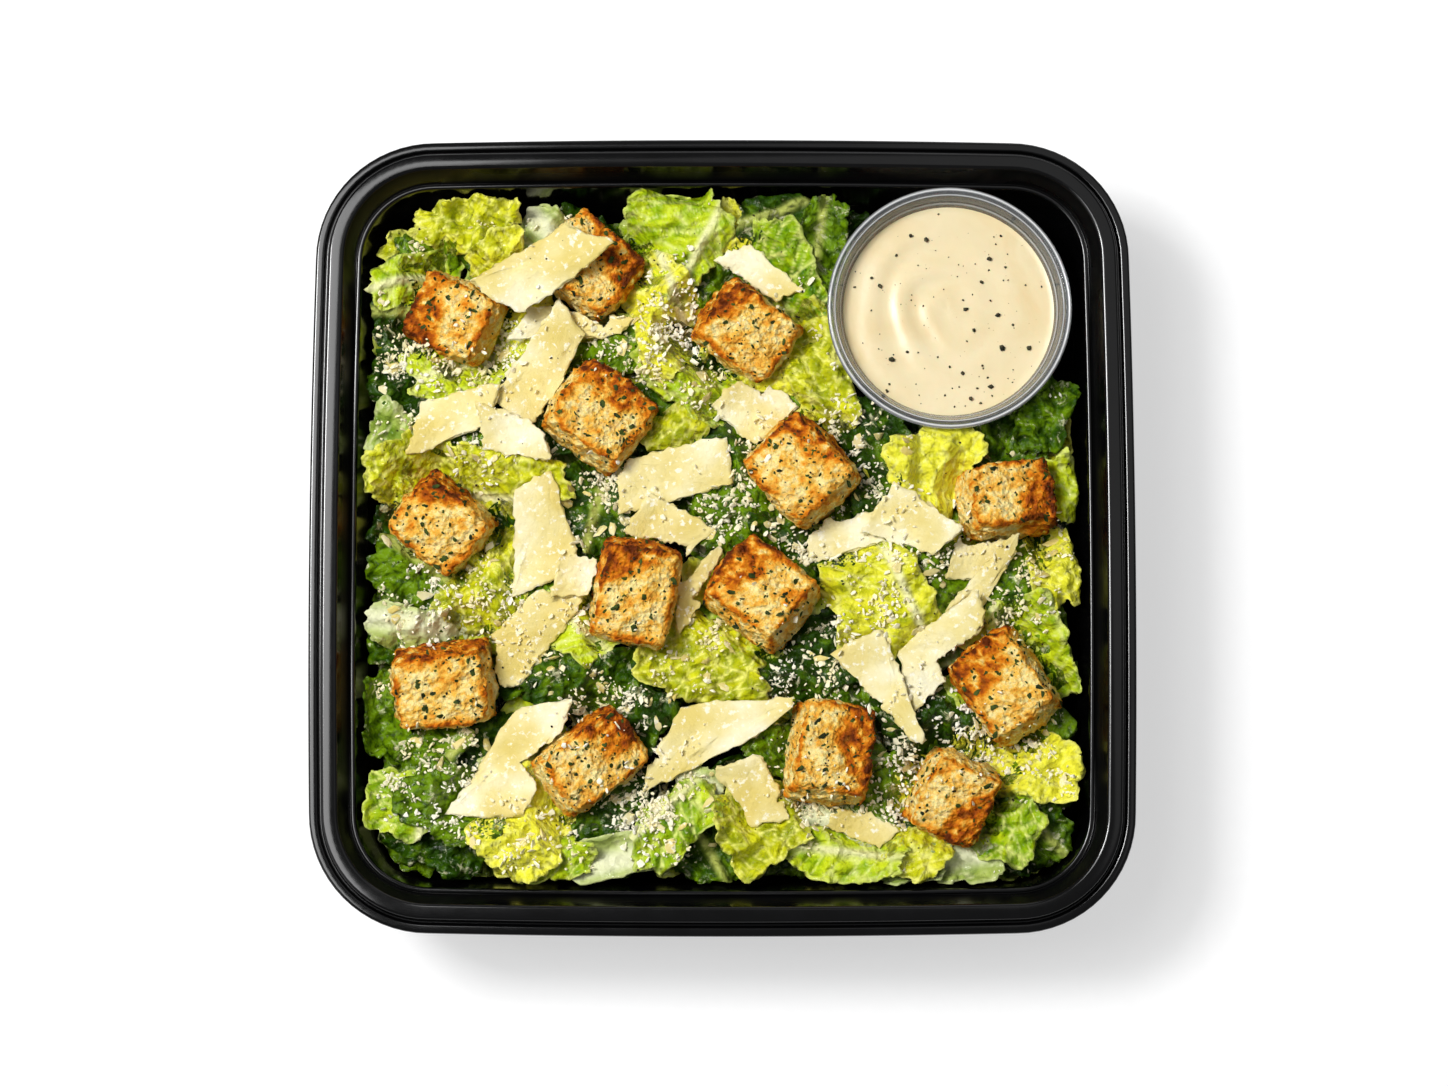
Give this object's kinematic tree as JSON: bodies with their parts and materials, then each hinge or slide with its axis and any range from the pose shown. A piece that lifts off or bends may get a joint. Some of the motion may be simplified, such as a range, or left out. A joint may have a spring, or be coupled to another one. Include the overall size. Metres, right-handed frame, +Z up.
{
  "type": "caesar salad in a takeaway tray",
  "caption": "Caesar salad of chopped romaine, herb croutons and shaved parmesan in a square black takeaway tray, with a clear pot of dressing in one corner.",
  "frame": {"origin": "middle of the tray's foot, on the surface that it stands on", "axes": "+Z up; +X to the right of the picture, along the tray's slightly longer side; +Y towards the picture's top edge, so the dressing pot stands in the +X +Y corner"},
  "size_m": [0.208, 0.202, 0.0572],
  "materials": {
    "black_sheet": "satin black moulded polypropylene",
    "romaine": "moist chopped lettuce leaf, pale rib to dark green",
    "clear_pot": "clear thermoformed cup",
    "caesar_dressing": "thick creamy dressing with pepper",
    "toasted_bread": "toasted bread with dried herbs",
    "parmesan": "shaved hard cheese"
  },
  "bodies": {
    "root": {"tray": "black_sheet", "romaine_heap": "romaine", "dressing_pot": "clear_pot", "dressing": "caesar_dressing", "crouton_01": "toasted_bread", "crouton_02": "toasted_bread", "crouton_03": "toasted_bread", "crouton_04": "toasted_bread", "crouton_05": "toasted_bread", "crouton_06": "toasted_bread", "crouton_07": "toasted_bread", "crouton_08": "toasted_bread", "crouton_09": "toasted_bread", "crouton_10": "toasted_bread", "crouton_11": "toasted_bread", "crouton_12": "toasted_bread", "crouton_13": "toasted_bread", "crouton_14": "toasted_bread", "shaving_01": "parmesan", "shaving_02": "parmesan", "shaving_03": "parmesan", "shaving_04": "parmesan", "shaving_05": "parmesan", "shaving_06": "parmesan", "shaving_07": "parmesan", "shaving_08": "parmesan", "shaving_09": "parmesan", "shaving_10": "parmesan", "shaving_11": "parmesan", "shaving_12": "parmesan", "shaving_13": "parmesan", "shaving_14": "parmesan", "shaving_15": "parmesan", "shaving_16": "parmesan", "shaving_17": "parmesan", "shaving_18": "parmesan", "shaving_19": "parmesan", "shaving_20": "parmesan", "shaving_21": "parmesan", "shaving_22": "parmesan", "shaving_23": "parmesan"}
  },
  "joints": []
}
